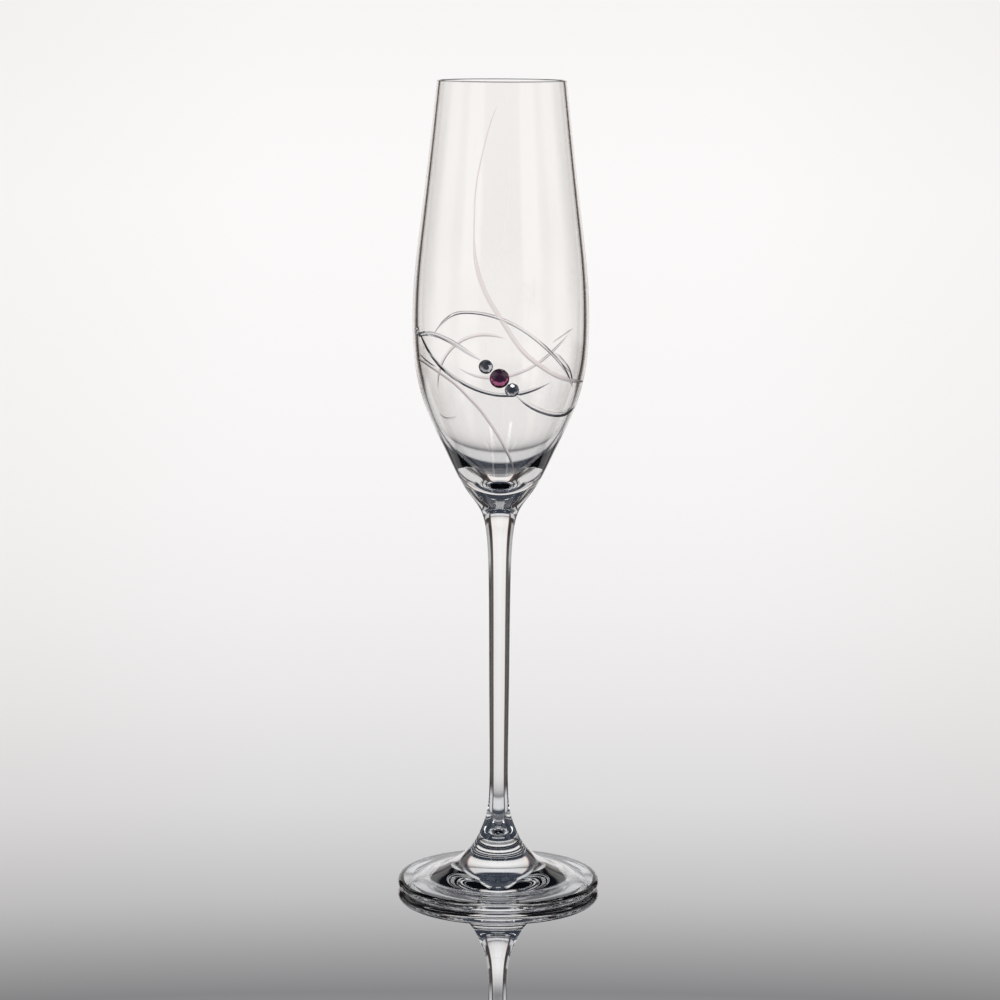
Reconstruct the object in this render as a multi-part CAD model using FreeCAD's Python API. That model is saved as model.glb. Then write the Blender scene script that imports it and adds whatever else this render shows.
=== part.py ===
import FreeCAD, Part
import math
import os

# A stemmed champagne flute in clear crystal glass: a blown bowl, a drawn stem and a pressed foot,
# hot fused face to face, and four faceted stones glued into seats ground in the bowl's wall.
# The origin is the centre of the plane that the foot stands on. +Z is up, and the three stones
# that sit together face -Y. Lengths are millimetres and angles are degrees.

Vector = FreeCAD.Vector

# Driving dimensions
height = 250.0
rim_radius = 19.55
rim_wall = 0.9
belly_radius = 26.85
belly_height = 175.0
stem_radius = 2.9
waist_height = 37.5
foot_radius = 31.35
foot_edge = 3.3
rest_inner_radius = 27.0
rest_outer_radius = 29.3
foot_hollow = 2.4
hollow_side_part = 0.7
hollow_depth_part = 0.52
edge_low = (foot_radius - 0.5, 0.7)
edge_widest = (foot_radius, foot_edge * 0.55)
edge_high = (foot_radius - 0.15, foot_edge - 0.6)
top_edge_inset = 0.75

# Heights where the three pieces of glass were fused, and the lowest point of the wine's space
foot_joint = 30.0
bowl_joint = 113.0
well_height = 126.9

# Outline points as (radius, height), between the ends that the driving dimensions give
foot_top_edge = (foot_radius - top_edge_inset, foot_edge)
flare_points = [(20.8, 4.65), (14.0, 8.0), (8.75, 12.6), (5.25, 19.0), (4.05, 22.3), (3.3, 26.0), (2.95, 31.0)]
stem_points = [(3.15, 65.0), (3.32, 88.0), (3.5, 100.0), (3.75, 107.0), (4.3, 113.0), (5.75, 118.75), (9.95, 125.0)]
bowl_points = [(16.55, 137.5), (22.4, 150.0), (25.85, 162.5), (belly_radius, belly_height)]
upper_bowl_points = [(26.1, 193.0), (24.55, 206.5), (22.3, 225.0)]
well_points = [(4.2, 127.9), (9.2, 131.4), (14.6, 138.4), (20.5, 150.0), (24.25, 162.5)]
inner_bowl_points = [(25.3, belly_height), (24.75, 193.0), (23.35, 206.5), (21.25, 225.0)]

# Each stone: its diameter, its direction round the bowl from -Y towards +X, and its height
stones = {
    "fuchsia": (5.8, -0.7, 162.9),
    "upper_clear": (4.2, -9.6, 166.4),
    "lower_clear": (4.2, 7.8, 159.3),
    "side_clear": (3.0, -70.0, 175.3),
}

# A stone's proportions as parts of its diameter. The band is its straight side, below the crown.
band_part = 0.12
crown_part = 0.16
table_part = 0.55
main_facets = 8
star_angle = 21.0
girdle_facet_angle = 42.0

# The layers under a stone, and the room round it in its seat
foil_thickness = 0.03
bed_thickness = 0.08
seat_clearance = 0.05
bed_below_glass = 0.04
clear_of_all = 40.0

UP = Vector(0, 0, 1)
OUT = Vector(1, 0, 0)
CENTRE = Vector(0, 0, 0)


def at(point):
    """The place in the XZ plane of an outline's (radius, height)."""
    return Vector(point[0], 0, point[1])


def smooth(points, start=None):
    """A smooth curve through outline points. It leaves the first one in the direction start."""
    places = [at(point) for point in points]
    curve = Part.BSplineCurve()
    if start is None:
        curve.interpolate(Points=places)
    else:
        held = [True] + [False] * (len(places) - 1)
        curve.interpolate(Points=places, Tangents=[start] * len(places), TangentFlags=held)
    return curve


def line(start, end):
    return Part.LineSegment(at(start), at(end)).toShape()


def arc(start, middle, end):
    return Part.Arc(at(start), at(middle), at(end)).toShape()


rim_outside = (rim_radius, height - rim_wall / 2)
rim_top = (rim_radius - rim_wall / 2, height)
rim_inside = (rim_radius - rim_wall, height - rim_wall / 2)
lower_outline = [foot_top_edge] + flare_points + [(stem_radius, waist_height)] + stem_points
outside = smooth(lower_outline + bowl_points + upper_bowl_points + [rim_outside])
inside = smooth([(0, well_height)] + well_points + inner_bowl_points + [rim_inside], start=OUT)


def foot_underside():
    """The shallow hollow, the flat ring that the foot stands on, and the rounded edge."""
    hollow_top = (0, foot_hollow)
    hollow_side = (rest_inner_radius * hollow_side_part, foot_hollow * hollow_depth_part)
    return [
        arc(hollow_top, hollow_side, (rest_inner_radius, 0)),
        line((rest_inner_radius, 0), (rest_outer_radius, 0)),
        arc((rest_outer_radius, 0), edge_low, edge_widest),
        arc(edge_widest, edge_high, foot_top_edge),
    ]


def glass_body():
    """All the glass as one turned shape, before it is parted at the fused planes."""
    outline = foot_underside()
    outline += [outside.toShape(), arc(rim_outside, rim_top, rim_inside), inside.toShape()]
    outline += [line((0, well_height), (0, foot_hollow))]
    face = Part.Face(Part.Wire(Part.__sortEdges__(outline)))
    return face.revolve(CENTRE, UP, 360)


def between(low, high):
    """A round block that holds everything between two heights."""
    return Part.makeCylinder(clear_of_all, high - low, Vector(0, 0, low))


def side_at(level):
    """The glass's outside radius at a height, and the direction it faces, as (out, up)."""
    crossing = outside.intersectCC(Part.Line(at((0, level)), at((1, level))))[0]
    parameter = outside.parameter(Vector(crossing.X, crossing.Y, crossing.Z))
    along = outside.tangent(parameter)[0]
    return outside.value(parameter).x, (along.z, -along.x)


def place_on_bowl(direction, level):
    """Carries a stone drawn at the origin, facing +Z, to the bowl's outside."""
    radius, (out, up) = side_at(level)
    turn = FreeCAD.Rotation(UP, direction)
    facing = turn.multVec(Vector(0, -out, up))
    return FreeCAD.Placement(turn.multVec(Vector(0, -radius, level)), FreeCAD.Rotation(UP, facing))


def disc(diameter, low, high):
    return Part.makeCylinder(diameter / 2, high - low, Vector(0, 0, low))


def cut_facet(stone, radius, level, angle, direction):
    """Takes off what lies outside a plane that leans in by an angle from level."""
    lean = math.radians(angle)
    turn = FreeCAD.Rotation(UP, direction)
    facing = turn.multVec(Vector(math.sin(lean), 0, math.cos(lean)))
    waste = Part.makeBox(clear_of_all, clear_of_all, clear_of_all)
    waste.translate(Vector(-clear_of_all / 2, -clear_of_all / 2, 0))
    through = turn.multVec(Vector(radius, 0, level))
    waste.Placement = FreeCAD.Placement(through, FreeCAD.Rotation(UP, facing)).multiply(waste.Placement)
    return stone.cut(waste)


def cut_stone(diameter):
    """A flat-backed round brilliant: a table, star, main and girdle facets, and a straight band."""
    crown = crown_part * diameter
    table_radius = table_part * diameter / 2
    main_angle = math.degrees(math.atan(crown / (diameter / 2 - table_radius)))
    step = 360 / main_facets
    stone = disc(diameter, -band_part * diameter, crown)
    for index in range(main_facets):
        direction = index * step
        stone = cut_facet(stone, diameter / 2, 0, main_angle, direction)
        star_radius = table_radius * math.cos(math.radians(step / 2))
        stone = cut_facet(stone, star_radius, crown, star_angle, direction + step / 2)
        for side in (-step / 4, step / 4):
            stone = cut_facet(stone, diameter / 2, 0, girdle_facet_angle, direction + side)
    return stone


def seat_floor(diameter):
    return -band_part * diameter - foil_thickness - bed_thickness


def cut_seat(diameter):
    """What the grinding bit takes out of the bowl's wall."""
    return disc(diameter + 2 * seat_clearance, seat_floor(diameter), clear_of_all / 4)


def pour_bed(diameter):
    """Clear adhesive: a disc under the foil and a thin ring round the band."""
    dip = diameter ** 2 / 8 / belly_radius
    cup = disc(diameter + 2 * seat_clearance, seat_floor(diameter), -dip - bed_below_glass)
    return cup.cut(disc(diameter, -band_part * diameter - foil_thickness, 1))


def mirror_foil(diameter):
    back = -band_part * diameter
    return disc(diameter, back - foil_thickness, back)


def make_parts():
    """Every piece under the name of its node."""
    glass = glass_body()
    seats = []
    parts = {
        "stem": glass.common(between(foot_joint, bowl_joint)),
        "foot": glass.common(between(-1, foot_joint)),
    }
    for name, (diameter, direction, level) in stones.items():
        place = place_on_bowl(direction, level)
        pieces = {
            name + "_crystal": cut_stone(diameter),
            name + "_foil": mirror_foil(diameter),
            name + "_adhesive": pour_bed(diameter),
        }
        for node, piece in pieces.items():
            piece.Placement = place.multiply(piece.Placement)
            parts[node] = piece
        seat = cut_seat(diameter)
        seat.Placement = place.multiply(seat.Placement)
        seats.append(seat)
    parts["bowl"] = glass.common(between(bowl_joint, height + 1)).cut(seats)
    return parts


os.makedirs("parts", exist_ok=True)
for node, shape in make_parts().items():
    shape.exportStep("parts/" + node + ".step")
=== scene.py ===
import math

import bmesh
import bpy
import numpy as np
from mathutils import Matrix, Vector


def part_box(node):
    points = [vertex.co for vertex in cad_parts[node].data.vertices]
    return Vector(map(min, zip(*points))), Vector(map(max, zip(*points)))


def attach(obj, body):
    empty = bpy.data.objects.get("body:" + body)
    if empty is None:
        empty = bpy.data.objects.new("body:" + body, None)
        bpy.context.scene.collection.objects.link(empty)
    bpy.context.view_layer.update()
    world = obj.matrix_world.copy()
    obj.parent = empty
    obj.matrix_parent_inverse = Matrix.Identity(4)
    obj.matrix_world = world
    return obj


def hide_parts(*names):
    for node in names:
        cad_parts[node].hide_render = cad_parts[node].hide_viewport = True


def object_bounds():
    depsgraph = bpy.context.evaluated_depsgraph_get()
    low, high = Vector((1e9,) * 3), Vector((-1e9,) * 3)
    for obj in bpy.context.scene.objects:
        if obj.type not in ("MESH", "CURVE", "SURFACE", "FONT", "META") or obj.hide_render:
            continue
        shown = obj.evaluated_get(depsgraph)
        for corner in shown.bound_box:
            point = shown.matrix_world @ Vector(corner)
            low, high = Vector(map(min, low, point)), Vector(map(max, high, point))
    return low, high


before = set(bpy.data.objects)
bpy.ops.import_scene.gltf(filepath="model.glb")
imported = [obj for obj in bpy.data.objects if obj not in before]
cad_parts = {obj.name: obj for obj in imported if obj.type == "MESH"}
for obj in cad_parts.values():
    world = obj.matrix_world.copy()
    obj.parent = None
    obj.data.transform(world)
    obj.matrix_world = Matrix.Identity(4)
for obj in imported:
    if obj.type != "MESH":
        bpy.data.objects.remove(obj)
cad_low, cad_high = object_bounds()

# A champagne flute in clear crystal glass, with wheel-cut lines and four set stones, in a small product
# studio. Lengths are millimetres until a point is handed to Blender, which takes metres. Directions round
# the glass are degrees from the front, -Y, towards +X.
MM = 0.001
HEIGHT = cad_high.z / MM

# ---------------------------------------------------------------- the glass's outlines
RIM_RADIUS = 19.55
RIM_WALL = 0.9
BELLY_RADIUS = 26.85
BELLY_HEIGHT = 175.0
FOOT_RADIUS = 31.35
FOOT_EDGE = 3.3
REST_INNER = 27.0
REST_OUTER = 29.3
FOOT_HOLLOW = 2.4
WELL_HEIGHT = 126.9
FOOT_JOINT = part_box("foot")[1].z / MM
BOWL_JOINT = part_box("bowl")[0].z / MM

# Outline points as (radius, height), from the foot's edge up and from the well's bottom up
OUTSIDE = [
    (FOOT_RADIUS - 0.75, FOOT_EDGE), (20.8, 4.65), (14.0, 8.0), (8.75, 12.6), (5.25, 19.0),
    (4.05, 22.3), (3.3, 26.0), (2.95, 31.0), (2.9, 37.5), (3.15, 65.0), (3.32, 88.0), (3.5, 100.0),
    (3.75, 107.0), (4.3, 113.0), (5.75, 118.75), (9.95, 125.0), (16.55, 137.5), (22.4, 150.0), (25.85, 162.5),
    (BELLY_RADIUS, BELLY_HEIGHT), (26.1, 193.0), (24.55, 206.5), (22.3, 225.0),
    (RIM_RADIUS, HEIGHT - RIM_WALL / 2),
]
INSIDE = [
    (0, WELL_HEIGHT), (4.2, 127.9), (9.2, 131.4), (14.6, 138.4), (20.5, 150.0), (24.25, 162.5),
    (25.3, BELLY_HEIGHT), (24.75, 193.0), (23.35, 206.5), (21.25, 225.0),
    (RIM_RADIUS - RIM_WALL, HEIGHT - RIM_WALL / 2),
]
# Steps round a turned piece, and along its profile where its curve is slow
AROUND_BOWL, AROUND_STEM, AROUND_FOOT, AROUND_STONE = 256, 128, 256, 64
BOWL_STEP, WELL_STEP, STEM_STEP, FOOT_STEP = 0.7, 0.8, 0.7, 0.45
PROFILE_STEP = 0.05
# The ring left at each fused joint, as (how far it swells, how far it spreads)
FOOT_RING = (0.004, 0.35)
BOWL_RING = (0.003, 0.9)


def smooth_line(points, step, level_start=False):
    """Points every step along the smooth curve through the given ones, and the last one."""
    points = np.array(points, float)
    spans = np.linalg.norm(np.diff(points, axis=0), axis=1)
    count = len(points)
    matrix = np.zeros((count, count))
    wanted = np.zeros_like(points)
    for i in range(1, count - 1):
        before, after = spans[i - 1], spans[i]
        matrix[i, i - 1:i + 2] = after, 2 * (before + after), before
        slopes = after * (points[i] - points[i - 1]) / before + before * (points[i + 1] - points[i]) / after
        wanted[i] = 3 * slopes
    for end, inner, span in ((0, 1, spans[0]), (count - 1, count - 2, spans[-1])):
        matrix[end, end], matrix[end, inner] = 2, 1
        wanted[end] = 3 * abs(inner - end) * (points[inner] - points[end]) / span * (1 if end == 0 else -1)
    if level_start:
        matrix[0] = 0
        matrix[0, 0] = 1
        wanted[0] = 0
        wanted[0, 0] = 1
    slopes = np.linalg.solve(matrix, wanted)
    line = []
    for i, span in enumerate(spans):
        pieces = max(1, round(span / step))
        for t in np.arange(pieces) / pieces:
            line.append(
                (2 * t**3 - 3 * t**2 + 1) * points[i] + (t**3 - 2 * t**2 + t) * span * slopes[i]
                + (3 * t**2 - 2 * t**3) * points[i + 1] + (t**3 - t**2) * span * slopes[i + 1]
            )
    line.append(points[-1])
    return np.array(line)


def arc_through(start, middle, end, pieces):
    """Points along the circle's arc through three points, without the first one."""
    (ax, ay), (bx, by), (cx, cy) = start, middle, end
    d = 2 * (ax * (by - cy) + bx * (cy - ay) + cx * (ay - by))
    a, b, c = ax * ax + ay * ay, bx * bx + by * by, cx * cx + cy * cy
    ux = (a * (by - cy) + b * (cy - ay) + c * (ay - by)) / d
    uy = (a * (cx - bx) + b * (ax - cx) + c * (bx - ax)) / d
    angles = np.unwrap([math.atan2(y - uy, x - ux) for x, y in (start, middle, end)])
    radius = math.hypot(ax - ux, ay - uy)
    turns = np.linspace(angles[0], angles[2], pieces + 1)[1:]
    return np.stack([ux + radius * np.cos(turns), uy + radius * np.sin(turns)], axis=1)


def with_normals(points):
    """A profile as rows of radius, height, and the direction it faces, to the right of its travel."""
    steps = np.gradient(points, axis=0)
    steps /= np.linalg.norm(steps, axis=1)[:, None]
    return np.column_stack([points, steps[:, 1], -steps[:, 0]])


def fused_ring(points, height, swell, spread):
    """The faint swelling that is left where two pieces of hot glass were pressed together."""
    points[:, 0] += swell * np.exp(-(((points[:, 1] - height) / spread) ** 2))


outside_points = smooth_line(OUTSIDE, PROFILE_STEP)
fused_ring(outside_points, FOOT_JOINT, *FOOT_RING)
fused_ring(outside_points, BOWL_JOINT, *BOWL_RING)
outside = with_normals(outside_points)
inside = with_normals(smooth_line(INSIDE, PROFILE_STEP, level_start=True))
rim = with_normals(np.vstack([
    OUTSIDE[-1],
    arc_through(OUTSIDE[-1], (RIM_RADIUS - RIM_WALL / 2, HEIGHT), INSIDE[-1], 14),
]))


def stretch(curve, low, high, step):
    """Evenly spaced rows of a rising profile between two heights, both ends included."""
    ends = np.interp([low, high], curve[:, 1], np.arange(len(curve)))
    travel = np.concatenate([[0], np.cumsum(np.linalg.norm(np.diff(curve[:, :2], axis=0), axis=1))])
    start, stop = np.interp(ends, np.arange(len(curve)), travel)
    places = np.linspace(start, stop, max(2, round((stop - start) / step) + 1))
    rows = np.column_stack([np.interp(places, travel, curve[:, k]) for k in range(4)])
    rows[:, 2:] /= np.linalg.norm(rows[:, 2:], axis=1)[:, None]
    return rows


def flat_run(start, end, facing):
    """Two rows that join two points by a straight line, both facing one way."""
    return np.array([[*start, *facing], [*end, *facing]], float)


def facing_down(rows):
    """The same rows, facing the other way."""
    return np.column_stack([rows[:, :2], -rows[:, 2:]])


def place_in_scene(name, data):
    """An object of this name, linked to the scene."""
    made = bpy.data.objects.new(name, data)
    bpy.context.scene.collection.objects.link(made)
    return made


# ---------------------------------------------------------------- turned pieces
def turn_on_lathe(name, runs, around):
    """A closed turned mesh. Each run is (rows of a profile, material slot number), end to end, with the
    glass on the left of the travel; every corner gets the profile's own normal."""
    turns = np.arange(around) * 2 * math.pi / around
    compass = np.column_stack([np.sin(turns), -np.cos(turns)])
    verts, faces, slots, normals = [], [], [], []

    def ring(point):
        first = len(verts)
        if point[0] < 1e-6:
            verts.append((0, 0, point[1]))
            return [first] * around
        verts.extend((point[0] * c[0], point[0] * c[1], point[1]) for c in compass)
        return list(range(first, first + around))

    last = start = ring(runs[0][0][0])
    closing = len(runs) - 1
    for number, (rows, slot) in enumerate(runs):
        for i in range(1, len(rows)):
            ends_here = number == closing and i == len(rows) - 1
            this = start if ends_here and np.allclose(rows[i][:2], runs[0][0][0][:2]) else ring(rows[i])
            for k in range(around):
                n = (k + 1) % around
                corners = [(last[k], i - 1, k), (last[n], i - 1, n), (this[n], i, n), (this[k], i, k)]
                if last[k] == last[n]:
                    corners = corners[1:]
                    corners[0] = (last[k], i - 1, k)
                elif this[k] == this[n]:
                    corners = corners[:3]
                faces.append([c[0] for c in corners])
                slots.append(slot)
                for _, row, turn in corners:
                    out, up = rows[row][2:4]
                    normals.append((out * compass[turn][0], out * compass[turn][1], up))
            last = this
    mesh = bpy.data.meshes.new(name)
    mesh.from_pydata([tuple(MM * x for x in v) for v in verts], [], faces)
    mesh.polygons.foreach_set("material_index", slots)
    mesh.polygons.foreach_set("use_smooth", [True] * len(faces))
    mesh.validate()
    mesh.normals_split_custom_set(normals)
    return place_in_scene(name, mesh)


# Slot numbers of the bowl's materials. The stem and the foot have the first two.
GLASS, FUSED, CUT, SEAT, MATT = range(5)

# The hollow under the foot, the flat ring that it stands on, and the rounded edge
HOLLOW = arc_through((0, FOOT_HOLLOW), (REST_INNER * 0.7, FOOT_HOLLOW * 0.52), (REST_INNER, 0), 40)
EDGE_LOW = arc_through((REST_OUTER, 0), (FOOT_RADIUS - 0.5, 0.7), (FOOT_RADIUS, FOOT_EDGE * 0.55), 8)
EDGE_HIGH = arc_through(EDGE_LOW[-1], (FOOT_RADIUS - 0.15, FOOT_EDGE - 0.6), OUTSIDE[0], 8)


def make_foot():
    hollow = with_normals(np.vstack([(0, FOOT_HOLLOW), HOLLOW]))
    ground = flat_run((REST_INNER, 0), (REST_OUTER, 0), (0, -1))
    edge_low = with_normals(np.vstack([(REST_OUTER, 0), EDGE_LOW]))
    edge_high = with_normals(np.vstack([EDGE_LOW[-1], EDGE_HIGH]))
    edge_low[-1, 2:] = edge_high[0, 2:] = (1, 0)
    top = stretch(outside, FOOT_EDGE, FOOT_JOINT, FOOT_STEP)
    joint = flat_run(top[-1, :2], (0, FOOT_JOINT), (0, 1))
    runs = [(rows, GLASS) for rows in (hollow, ground, edge_low, edge_high, top)]
    return turn_on_lathe("pressed_foot", runs + [(joint, FUSED)], AROUND_FOOT)


def make_stem():
    side = stretch(outside, FOOT_JOINT, BOWL_JOINT, STEM_STEP)
    low = flat_run((0, FOOT_JOINT), side[0, :2], (0, -1))
    high = flat_run(side[-1, :2], (0, BOWL_JOINT), (0, 1))
    return turn_on_lathe("drawn_stem", [(low, FUSED), (side, GLASS), (high, FUSED)], AROUND_STEM)


def make_bowl():
    side = stretch(outside, BOWL_JOINT, OUTSIDE[-1][1], BOWL_STEP)
    well = facing_down(stretch(inside, WELL_HEIGHT, INSIDE[-1][1], WELL_STEP)[::-1])
    joint = flat_run((0, BOWL_JOINT), side[0, :2], (0, -1))
    runs = [(joint, FUSED)] + [(rows, GLASS) for rows in (side, rim, well)]
    return turn_on_lathe("blown_bowl", runs, AROUND_BOWL)


# ---------------------------------------------------------------- the bowl's outside as a place
def side_at(height):
    """The glass's outside radius at a height, and the direction it faces, as out and up."""
    return [float(np.interp(height, outside[:, 1], outside[:, k])) for k in (0, 2, 3)]


def on_bowl(direction, height):
    """A point of the bowl's outside, and the direction it faces."""
    radius, out, up = side_at(height)
    turn = math.radians(direction)
    east, north = math.sin(turn), -math.cos(turn)
    return Vector((radius * east, radius * north, height)), Vector((out * east, out * north, up)).normalized()


def place_on_bowl(direction, height):
    """Carries a stone drawn at the origin, facing +Z, to the bowl's outside, in millimetres."""
    point, facing = on_bowl(direction, height)
    across = Vector((0, 0, 1)).cross(facing).normalized()
    turned = Matrix((across, facing.cross(across), facing)).transposed().to_4x4()
    return Matrix.Translation(point) @ turned


# ---------------------------------------------------------------- wheel cuts
# Each cut is (slot, width, depth, strength at its start, at its end, points as (direction, height)). The
# strength runs from 0, where the wheel has just lifted off, to 1. The long tail and sweep make one line.
CUTS = {
    "upper_arc": (CUT, 1.0, 0.4, 0, 0, [
        (-53, 172.4), (-45, 176.8), (-30, 181.9), (-18.6, 182.5), (-4, 181.4), (11, 178.3),
        (29.4, 172.1), (47.1, 164.8), (64.5, 156),
    ]),
    "upper_arc_twin": (CUT, 0.7, 0.2, 0, 0, [
        (34, 171.2), (45.4, 167.4), (54.1, 163.3), (60, 158.4),
    ]),
    "swoosh": (CUT, 1.5, 0.5, 0.7, 0.3, [
        (-67, 174.2), (-53.2, 175.2), (-41.5, 174.7), (-30.6, 172.9), (-22, 170.7), (-13.4, 168.5),
    ]),
    "low_right": (CUT, 1.6, 0.5, 0.4, 0.1, [
        (10.5, 158), (21, 154.6), (31.4, 152.5), (46.2, 150.9), (63, 150.7), (80, 152.4),
    ]),
    "lower_arc": (CUT, 1.3, 0.5, 0.5, 0, [
        (-65, 175), (-48.8, 167.8), (-31.1, 162.4), (-14.5, 159.2), (0.8, 157.9), (22.2, 159.2),
        (41, 162.2),
    ]),
    "long_tail": (MATT, 0.5, 0.07, 0, 0.6, [
        (0.5, 246.8), (-8.7, 238.5), (-14.7, 229.5), (-18.7, 220.7), (-19.2, 208), (-17.3, 198.3),
        (-14.5, 193.5),
    ]),
    "long_sweep": (MATT, 1.5, 0.2, 0, 0.2, [
        (-19.2, 211), (-17.3, 198.3), (-13.6, 192.4), (-7.5, 186.3), (0.8, 180.2), (9, 174.2),
        (16.9, 169.9), (26.9, 166.4), (39.3, 163.3), (60, 160.8), (84, 159.4),
    ]),
    "left_sweep": (MATT, 1.0, 0.22, 0.3, 0, [
        (-74, 167), (-58.3, 165.9), (-43.4, 163.5), (-31.5, 160.5), (-22.6, 156.8), (-14.4, 152.9),
        (-6.2, 147.8), (1.1, 143.3), (9.5, 138.1), (17.7, 132.4), (20.5, 129.4),
    ]),
    "left_short": (CUT, 0.7, 0.2, 0.3, 0, [
        (-66, 168.4), (-55, 166.6), (-46, 165.3),
    ]),
    "back_low": (MATT, 1.0, 0.2, 0, 0, [
        (-141.3, 161.9), (-161.1, 157.4), (-188.8, 157.6), (-207.6, 161.6), (-227.4, 168.7),
        (-240.2, 173.3),
    ]),
    "back_twin": (CUT, 0.5, 0.1, 0, 0.2, [
        (-217.7, 168.1), (-227.2, 170.6), (-243, 174),
    ]),
    "back_high": (MATT, 1.1, 0.2, 0, 0, [
        (-116.1, 151.6), (-124, 158), (-134.5, 163.7), (-152.2, 169), (-170.7, 170.3), (-188.3, 168.4),
    ]),
    "back_short": (CUT, 0.7, 0.15, 0, 0, [
        (-226.9, 163.4), (-236.3, 161.7), (-252, 159),
    ]),
    "back_hook": (CUT, 0.6, 0.12, 0, 0, [
        (-101.9, 148), (-111.7, 146.3), (-123.9, 145.5), (-137.6, 145.9),
    ]),
}
MM_PER_DEGREE = math.radians(1) * BELLY_RADIUS
CUT_STEP = 0.35
CUT_TAPER = 4


def cut_tool(name, width, depth, first, final, points):
    """The space a round-edged wheel sweeps: a shallow channel that lifts out of the glass where it tapers."""
    path = smooth_line([(MM_PER_DEGREE * a, z) for a, z in points], CUT_STEP)
    path = [on_bowl(a / MM_PER_DEGREE, z) for a, z in path]
    count = len(path)
    across_parts = np.linspace(-1.3, 1.3, 9)
    verts = []
    for i, (point, facing) in enumerate(path):
        along = (path[min(i + 1, count - 1)][0] - path[max(i - 1, 0)][0]).normalized()
        aside = facing.cross(along)
        t = i / (count - 1)
        rise = first + CUT_TAPER * t * (1 - first)
        fall = final + CUT_TAPER * (1 - t) * (1 - final)
        strength = min(1, rise, fall)
        strength = strength * strength * (3 - 2 * strength)
        half = width * (0.3 + 0.7 * strength) / 2
        deep = depth * (0.25 + 0.75 * strength)
        lift = (depth * 0.25 + 0.04) * (1 - strength) ** 3
        for part in across_parts:
            sunk = lift + deep * (abs(part) ** 1.2 - 1)
            verts.append(point + aside * (part * half) + facing * sunk)
    wide = len(across_parts)
    faces = [list(range(wide))[::-1], [(count - 1) * wide + k for k in range(wide)]]
    for i in range(count - 1):
        for k in range(wide):
            n = (k + 1) % wide
            faces.append([i * wide + k, i * wide + n, (i + 1) * wide + n, (i + 1) * wide + k])
    return mesh_piece(name, verts, faces)


def mesh_piece(name, verts, faces):
    """An object from points in millimetres and faces, all turned to face out."""
    mesh = bpy.data.meshes.new(name)
    mesh.from_pydata([tuple(MM * x for x in v) for v in verts], [], faces)
    shape = bmesh.new()
    shape.from_mesh(mesh)
    bmesh.ops.recalc_face_normals(shape, faces=shape.faces)
    shape.to_mesh(mesh)
    shape.free()
    return place_in_scene(name, mesh)


def take_out(piece, tool, slot):
    """Cuts the tool's space out of the piece; the new faces get the slot."""
    for material in bowl_materials[:slot + 1]:
        tool.data.materials.append(material)
    tool.data.polygons.foreach_set("material_index", [slot] * len(tool.data.polygons))
    cut = piece.modifiers.new("cut", "BOOLEAN")
    cut.operation = "DIFFERENCE"
    cut.solver = "MANIFOLD"
    cut.object = tool
    cut.material_mode = "INDEX"
    cut_piece = piece.evaluated_get(bpy.context.evaluated_depsgraph_get())
    made = bpy.data.meshes.new_from_object(cut_piece)
    piece.modifiers.remove(cut)
    old = piece.data
    piece.data = made
    bpy.data.meshes.remove(old)
    bpy.data.objects.remove(tool)


def read(items, field, parts=1, kind=float):
    """One field of every item of a mesh, as an array with a row for each item."""
    values = np.zeros(len(items) * parts, kind)
    items.foreach_get(field, values)
    return values.reshape(-1, parts) if parts > 1 else values


def soften_corners(mesh):
    """Gives uncut glass its profile's exact normals, so that it refracts as one smooth curve, and each
    cut the mean of its own faces', so that its walls roll into its bottom."""
    corners = read(mesh.loops, "vertex_index", kind=int)
    spots = read(mesh.vertices, "co", 3) / MM
    count = len(mesh.polygons)
    facing = read(mesh.polygons, "normal", 3)
    area = read(mesh.polygons, "area")
    slots = read(mesh.polygons, "material_index", kind=int)
    sizes = read(mesh.polygons, "loop_total", kind=int)
    owner = np.repeat(np.arange(count), sizes)
    middle = np.zeros((count, 3))
    np.add.at(middle, owner, spots[corners])
    middle /= sizes[:, None]

    def profile_normals(places, curve, turn):
        radius = np.maximum(np.hypot(places[:, 0], places[:, 1]), 1e-9)
        out = np.interp(places[:, 2], curve[:, 1], curve[:, 2]) * turn
        up = np.interp(places[:, 2], curve[:, 1], curve[:, 3]) * turn
        return np.column_stack([places[:, 0] / radius * out, places[:, 1] / radius * out, up])

    rim_level = OUTSIDE[-1][1]
    inner = (facing * profile_normals(middle, outside, 1)).sum(axis=1) < 0.3
    in_cut = ((slots == CUT) | (slots == MATT))[owner]
    normals = facing[owner].copy()
    plain = slots[owner] == GLASS
    for chosen, curve, turn in ((plain & ~inner[owner], outside, 1), (plain & inner[owner], inside, -1)):
        normals[chosen] = profile_normals(spots[corners[chosen]], curve, turn)
    on_rim = plain & (middle[:, 2] > rim_level)[owner]
    x, y, height = spots[corners[on_rim]].T
    radius = np.hypot(x, y)
    out = radius - (RIM_RADIUS - RIM_WALL / 2)
    up = height - rim_level
    long = np.hypot(out, up)
    normals[on_rim] = np.column_stack([x / radius * out / long, y / radius * out / long, up / long])
    sums = np.zeros_like(spots)
    np.add.at(sums, corners[in_cut], (facing * area[:, None])[owner[in_cut]])
    sums /= np.maximum(np.linalg.norm(sums, axis=1), 1e-12)[:, None]
    normals[in_cut] = sums[corners[in_cut]]
    mesh.polygons.foreach_set("use_smooth", [True] * count)
    mesh.normals_split_custom_set(normals)


# ---------------------------------------------------------------- stones
STONES = {
    "fuchsia": (5.8, -0.7, 162.9),
    "upper_clear": (4.2, -9.6, 166.4),
    "lower_clear": (4.2, 7.8, 159.3),
    "side_clear": (3.0, -70.0, 175.3),
}
# A stone's straight band, crown and table as parts of its diameter, and its facets' angles from level
BAND, CROWN, TABLE = 0.12, 0.16, 0.55
MAIN_FACETS = 8
STAR_ANGLE, GIRDLE_ANGLE = 21.0, 42.0
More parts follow.
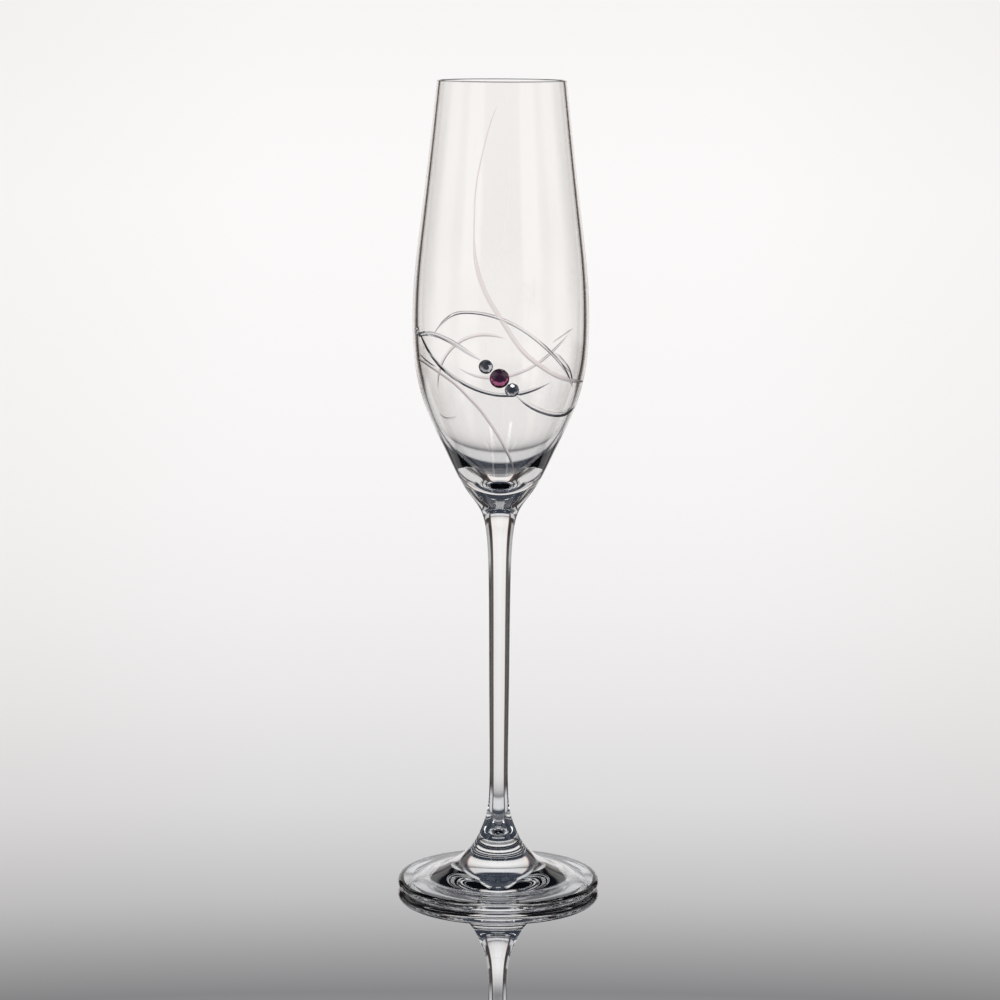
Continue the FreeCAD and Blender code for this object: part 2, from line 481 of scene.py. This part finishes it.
# The layers under a stone, the room round it, and the air kept between two pieces so that they don't touch
FOIL, BED, CLEARANCE = 0.03, 0.08, 0.05
GAP = 0.004
POLISHED_EDGE = 0.012


def disc_rows(radius, low, high, bevel):
    """The corners of a disc's half section with its two rims broken, from the axis round to the axis."""
    lower = [(0, low), (radius - bevel, low), (radius, low + bevel)]
    return lower + [(radius, high - bevel), (radius - bevel, high), (0, high)]


def turned_flat(name, corners, place):
    """A turned piece with flat-shaded bands, drawn at the origin and carried to its place."""
    runs = []
    for (r0, z0), (r1, z1) in zip(corners, corners[1:]):
        long = math.hypot(r1 - r0, z1 - z0)
        runs.append((flat_run((r0, z0), (r1, z1), ((z1 - z0) / long, (r0 - r1) / long)), GLASS))
    piece = turn_on_lathe(name, runs, AROUND_STONE)
    piece.data.transform(Matrix.Scale(MM, 4) @ place @ Matrix.Scale(1 / MM, 4))
    return piece


def grind_crystal(name, diameter, place):
    """A flat-backed brilliant cut from a round blank by planes, with its edges lightly polished over."""
    crown, half = CROWN * diameter, diameter / 2
    table = TABLE * half
    main_angle = math.degrees(math.atan(crown / (half - table)))
    shape = bmesh.new()
    depth = crown + BAND * diameter
    bmesh.ops.create_cone(shape, cap_ends=True, segments=96, radius1=half, radius2=half, depth=depth)
    bmesh.ops.translate(shape, verts=shape.verts, vec=(0, 0, (crown - BAND * diameter) / 2))
    step = 360 / MAIN_FACETS
    star_radius = table * math.cos(math.radians(step / 2))
    for index in range(MAIN_FACETS):
        turn = step * index
        planes = [(half, 0, main_angle, turn), (star_radius, crown, STAR_ANGLE, turn + step / 2)]
        planes += [(half, 0, GIRDLE_ANGLE, turn + side) for side in (-step / 4, step / 4)]
        for radius, level, lean, way in planes:
            lean, way = math.radians(lean), math.radians(way)
            east, north = math.cos(way), math.sin(way)
            cut = bmesh.ops.bisect_plane(
                shape, geom=shape.verts[:] + shape.edges[:] + shape.faces[:], dist=1e-5, clear_outer=True,
                plane_co=(radius * east, radius * north, level),
                plane_no=(math.sin(lean) * east, math.sin(lean) * north, math.cos(lean)),
            )
            rim_edges = [e for e in cut["geom_cut"] if isinstance(e, bmesh.types.BMEdge)]
            if len(rim_edges) > 2:
                bmesh.ops.contextual_create(shape, geom=rim_edges)
    bmesh.ops.remove_doubles(shape, verts=shape.verts, dist=0.002)
    bmesh.ops.dissolve_limit(shape, angle_limit=0.002, verts=shape.verts, edges=shape.edges)
    mesh = bpy.data.meshes.new(name)
    bmesh.ops.recalc_face_normals(shape, faces=shape.faces)
    sharp = [e for e in shape.edges if len(e.link_faces) == 2 and e.calc_face_angle(0) > 0.12]
    bmesh.ops.bevel(
        shape, geom=sharp, offset=POLISHED_EDGE, segments=1, profile=0.5, affect="EDGES", clamp_overlap=True,
    )
    bmesh.ops.transform(shape, matrix=Matrix.Scale(MM, 4) @ place, verts=shape.verts)
    shape.to_mesh(mesh)
    shape.free()
    return place_in_scene(name, mesh)


# ---------------------------------------------------------------- materials
def linear(code):
    """An sRGB hex colour as linear red, green, blue, alpha."""
    parts = [int(code[i:i + 2], 16) / 255 for i in (1, 3, 5)]
    return [p / 12.92 if p <= 0.04045 else ((p + 0.055) / 1.055) ** 2.4 for p in parts] + [1]


def add(tree, kind, inputs=None, **settings):
    """Adds a shader node with its settings. An input may be another node's output, which is linked."""
    node = tree.nodes.new("ShaderNode" + kind)
    for key, value in settings.items():
        setattr(node, key, value)
    for key, value in (inputs or {}).items():
        if isinstance(value, bpy.types.NodeSocket):
            tree.links.new(value, node.inputs[key])
        else:
            node.inputs[key].default_value = value
    return node


def new_material(name):
    """An empty material and its node tree."""
    material = bpy.data.materials.new(name)
    material.use_nodes = True
    material.node_tree.nodes.clear()
    return material, material.node_tree


def finish_material(tree, shader):
    add(tree, "OutputMaterial", {"Surface": shader.outputs[0]})


def ripple(tree, size_mm, depth_mm, stretch_up=1.0):
    """Slow unevenness of a worked surface, this many millimetres from swell to swell."""
    place = add(tree, "TexCoord")
    scaled = add(tree, "Mapping", {"Vector": place.outputs["Object"], "Scale": (1, 1, 1 / stretch_up)})
    noise = add(tree, "TexNoise", {"Vector": scaled.outputs[0], "Scale": 1 / (size_mm * MM), "Detail": 1.0})
    bump = add(tree, "Bump", {"Height": noise.outputs[0], "Strength": 1.0, "Distance": depth_mm * MM})
    return bump.outputs[0]


def clear_glass(name, tint, ior, roughness, swell_mm, depth_mm, stretch_up=1.0):
    """Glass of one tint, refraction index and roughness, with a slow ripple in its surface."""
    material, tree = new_material(name)
    shader = add(tree, "BsdfPrincipled", {
        "Base Color": linear(tint), "Roughness": roughness, "IOR": ior, "Transmission Weight": 1.0,
        "Normal": ripple(tree, swell_mm, depth_mm, stretch_up),
    })
    finish_material(tree, shader)
    return material


# Blown crystal: colourless, with slow swells from the blowing iron that make straight reflections waver
blown = clear_glass("blown_crystal_glass", "#fffefd", 1.53, 0.0, 14, 0.006, 2.0)
# Drawn crystal: swells run along the stem, as the gather was pulled, so its light lines thicken and thin
drawn = clear_glass("drawn_crystal_glass", "#ffffff", 1.53, 0.0, 4, 0.003, 6.0)
# Pressed and fire-polished crystal: heavier and a trace greyer, with rounder swells left by the mould
pressed = clear_glass("pressed_crystal_glass", "#fcfdfe", 1.53, 0.0, 9, 0.006)
# Wheel-cut and acid-polished channels: bright walls with fine tool chatter that breaks up the light in them
wheel_cut = clear_glass("wheel_cut_glass", "#fbf8fa", 1.53, 0.06, 1.2, 0.006)
# Wheel-cut channels left matt from the stone: a soft rosy grey that scatters the screen behind it
wheel_matt = clear_glass("matt_wheel_cut_glass", "#f3e6e6", 1.53, 0.3, 0.8, 0.01)
# Clear stones, machine cut: hard flat facets, colourless and heavier than the bowl's glass
clear_stone = clear_glass("machine_cut_clear_crystal", "#fdfeff", 1.6, 0.0, 3, 0.0003)
# Fuchsia stone, machine cut: deep plum where the light passes twice, hot pink where a facet throws it back
fuchsia_stone = clear_glass("machine_cut_fuchsia_crystal", "#ffc0de", 1.6, 0.0, 3, 0.0003)
# Clear adhesive, cured by lamp: a thin wet line round a stone, almost the glass's own index
adhesive = clear_glass("lamp_cured_clear_adhesive", "#f7f6f0", 1.03, 0.05, 0.5, 0.002)


def fused_face():
    """Hot-fused or wetted glass: no surface is left, so light goes straight on."""
    material, tree = new_material("hot_fused_joint")
    finish_material(tree, add(tree, "BsdfTransparent", {"Color": (1, 1, 1, 1)}))
    return material


def silvered_foil():
    """Silvered foil, vacuum coated: a bright mirror with a fine crinkle that splits each glint in two."""
    material, tree = new_material("vacuum_coated_silver_foil")
    shader = add(tree, "BsdfPrincipled", {
        "Base Color": linear("#e4e2e6"), "Metallic": 1.0, "Roughness": 0.08,
        "Normal": ripple(tree, 0.5, 0.006),
    })
    finish_material(tree, shader)
    return material


fused = fused_face()
foil = silvered_foil()


def dress(piece, materials, stands_for):
    """Gives a finished piece its materials, its body and the CAD nodes it stands for."""
    for material in materials[len(piece.data.materials):]:
        piece.data.materials.append(material)
    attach(piece, "root")
    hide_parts(*stands_for)


# ---------------------------------------------------------------- assembly
bowl_materials = [blown, fused, wheel_cut, fused, wheel_matt]


def set_stone(bowl, name, diameter, direction, level):
    """Grinds a stone's seat in the bowl, and makes the stone, its foil and the adhesive round them."""
    place = place_on_bowl(direction, level)
    back = -BAND * diameter
    floor_level = back - FOIL - BED
    half = diameter / 2
    wide = half + CLEARANCE
    seat = turned_flat(name + "_seat", [(0, floor_level), (wide, floor_level), (wide, 3), (0, 3)], place)
    take_out(bowl, seat, SEAT)
    crystal = grind_crystal(name + "_brilliant", diameter - 2 * GAP, place)
    slot, material = ("fuchsia_stone", fuchsia_stone) if name == "fuchsia" else ("clear_stone", clear_stone)
    dress(crystal, [material], [name + "_crystal"])
    mirror = disc_rows(half - 0.02, back - FOIL + GAP, back - GAP, 0.005)
    dress(turned_flat(name + "_mirror", mirror, place), [foil], [name + "_foil"])
    brim = -diameter**2 / 8 / BELLY_RADIUS - 0.04
    inner = half + GAP
    under = back - FOIL - GAP
    cup = [(0, floor_level + GAP), (wide - GAP, floor_level + GAP), (wide - GAP, brim - 0.01)]
    cup += [(wide - 0.02, brim), (inner, brim - 0.01), (inner, under), (0, under)]
    dress(turned_flat(name + "_bed", cup, place), [adhesive], [name + "_adhesive"])


bowl = make_bowl()
for material in bowl_materials:
    bowl.data.materials.append(material)
for name, (slot, *shape) in CUTS.items():
    take_out(bowl, cut_tool(name, *shape), slot)
for name, stone in STONES.items():
    set_stone(bowl, name, *stone)
soften_corners(bowl.data)
dress(bowl, bowl_materials, ["bowl"])
dress(make_stem(), [drawn, fused], ["stem"])
dress(make_foot(), [pressed, fused], ["foot"])

# ---------------------------------------------------------------- the studio
scene = bpy.context.scene
scene.view_settings.view_transform = "Standard"

# The camera's distance and height as parts of the glass's height, and its turns in degrees
CAMERA_BACK, CAMERA_UP = 3.7162, 1.0906
LOOK_DOWN, ROLL = 9.192, 0.27
# How far the table and the view reach, in metres
REACH = 60
# The table lies just under the foot, so that the two surfaces don't coincide
TABLE_LEVEL = -0.02

camera = place_in_scene("camera", bpy.data.cameras.new("camera"))
camera.location = (0, -CAMERA_BACK * HEIGHT * MM, CAMERA_UP * HEIGHT * MM)
level_look = Matrix.Rotation(math.radians(90 - LOOK_DOWN), 4, "X")
camera.rotation_euler = (level_look @ Matrix.Rotation(math.radians(ROLL), 4, "Z")).to_euler()
camera.data.lens = 110.45
camera.data.sensor_width = 36
camera.data.clip_end = REACH
scene.camera = camera


def make_floor():
    """A wide table top with a hard polish."""
    mesh = bpy.data.meshes.new("table_top")
    corners = [(-REACH, -REACH), (REACH, -REACH), (REACH, REACH), (-REACH, REACH)]
    mesh.from_pydata([(x, y, TABLE_LEVEL * MM) for x, y in corners], [], [(0, 1, 2, 3)])
    table = place_in_scene("table_top", mesh)
    material, tree = new_material("polished_pale_table")
    # Polished pale coated metal sheet: a mirror that doubles the foot and shows the backdrop's fall of light
    sheet = {"Base Color": linear("#f9f9fa"), "Metallic": 0.96, "Roughness": 0.0}
    finish_material(tree, add(tree, "BsdfPrincipled", sheet))
    mesh.materials.append(material)


make_floor()

# The backdrop's light by elevation in degrees, straight behind the glass: the screen, a gap, and a
# dimmer band above it that reaches the thick glass of the well and the foot
BEHIND = [
    (0, 0.915), (1.8, 0.95), (3.6, 0.975), (5.5, 0.975), (7.3, 0.97), (9.2, 0.955), (11.1, 0.915),
    (12.9, 0.85), (14.8, 0.745), (15.7, 0.65), (16.6, 0.54), (17.5, 0.36), (18.4, 0.2), (18.8, 0.3),
    (19.6, 0.66), (21.0, 0.78), (27, 0.76), (30, 0.0), (90, 0.0),
]
# The screen's light by degrees to each side. Its edges are warm and then cool, as thick glass splits them.
SCREEN_SIDE = [
    (0, (0.965, 0.962, 0.958)), (4.5, (0.965, 0.962, 0.958)), (9, (0.93, 0.92, 0.91)),
    (22.6, (0.9, 0.88, 0.86)), (23.8, (1.0, 0.78, 0.6)), (24.9, (0.3, 0.24, 0.3)), (26.3, (0.0, 0.01, 0.03)),
    (28, 0.0),
]
# Other soft light, each (degrees aside from, to, edge, lowest elevation, highest, edge, light)
SCREENS = [
    (42, 74, 4, -1, 7.5, 1.5, 0.5), (74, 180, 6, -1, 14, 4, 0.48), (77, 103, 5, -1, 13, 2, 0.75),
    (33, 57, 4, 19, 36, 3, 0.7), (123, 147, 5, 4, 26, 3, 0.8),
    (104, 120, 2, 25, 36, 2, 0.7), (155, 160, 1, 52, 60, 1, 2.2), (128, 133, 1, 62, 72, 1, 2.2),
]
# The dark room, brown at table height and blue above
ROOM_LOW, ROOM_HIGH = (0.05, 0.041, 0.037), (0.036, 0.044, 0.06)
ROOM = [(0, ROOM_LOW), (13, ROOM_LOW), (24, ROOM_HIGH), (90, ROOM_HIGH)]


def studio_light():
    """Light that depends only on where it comes from: a bright screen behind the glass, the dark room left
    and right of it that draws the edges of clear glass, and soft panels beyond."""
    world = bpy.data.worlds.new("studio")
    scene.world = world
    world.use_nodes = True
    tree = world.node_tree
    tree.nodes.clear()
    towards = add(tree, "SeparateXYZ", {0: add(tree, "TexCoord").outputs["Generated"]})
    x, y, z = towards.outputs

    def maths(operation, a, b=0.0):
        return add(tree, "Math", {0: a, 1: b}, operation=operation).outputs[0]

    elevation = maths("DIVIDE", maths("ARCSINE", maths("ABSOLUTE", z)), math.pi / 2)
    aside = maths("DIVIDE", maths("ABSOLUTE", maths("ARCTAN2", x, y)), math.pi)

    def ramp(value, stops, full):
        """A colour by a value that runs from 0 to 1, with its stops in degrees out of full."""
        made = add(tree, "ValToRGB", {"Fac": value})
        band = made.color_ramp
        band.elements.remove(band.elements[1])
        for number, (place, light) in enumerate(stops):
            stop = band.elements[0] if number == 0 else band.elements.new(place / full)
            stop.position = place / full
            colour = light if isinstance(light, tuple) else (light, light, light)
            stop.color = (*colour, 1)
        return made.outputs[0]

    def mix(factor, a, b, blend="MIX"):
        node = add(tree, "Mix", {}, data_type="RGBA", blend_type=blend)
        for socket, value in ((node.inputs[0], factor), (node.inputs[6], a), (node.inputs[7], b)):
            if isinstance(value, bpy.types.NodeSocket):
                tree.links.new(value, socket)
            else:
                socket.default_value = value
        return node.outputs[2]

    def window(value, low, high, soft, full):
        """White between two angles, with soft ends."""
        stops = [(low - soft, 0.0), (low, 1.0), (high, 1.0), (high + soft, 0.0)]
        stops = [stop for stop in stops if 0 < stop[0] < full]
        return ramp(value, stops if low > 0 else [(0, 1.0), *stops], full)

    screen = mix(1.0, ramp(aside, SCREEN_SIDE, 180), ramp(elevation, BEHIND, 90), "MULTIPLY")
    light = mix(1.0, screen, ramp(elevation, ROOM, 90), "ADD")
    for left, right, side_edge, lowest, highest, edge, level in SCREENS:
        across = window(aside, left, right, side_edge, 180)
        shown = mix(1.0, across, window(elevation, lowest, highest, edge, 90), "MULTIPLY")
        light = mix(shown, light, (level, level, level, 1))
    shone = add(tree, "Background", {"Color": light, "Strength": 1.0})
    add(tree, "OutputWorld", {"Surface": shone.outputs[0]})


studio_light()


def hang_softbox():
    """A faint lit panel overhead that gives the facets and the rim their glints."""
    data = bpy.data.lights.new("overhead", "AREA")
    data.shape = "RECTANGLE"
    data.size = 0.5
    data.size_y = 0.4
    data.energy = 0.3
    lamp = place_in_scene("overhead", data)
    lamp.location = (0, 0.3, 1.6)
    aim = Vector((0, 0, 0.12))
    lamp.rotation_euler = (aim - Vector((0, 0.3, 1.6))).to_track_quat("-Z", "Y").to_euler()


hang_softbox()
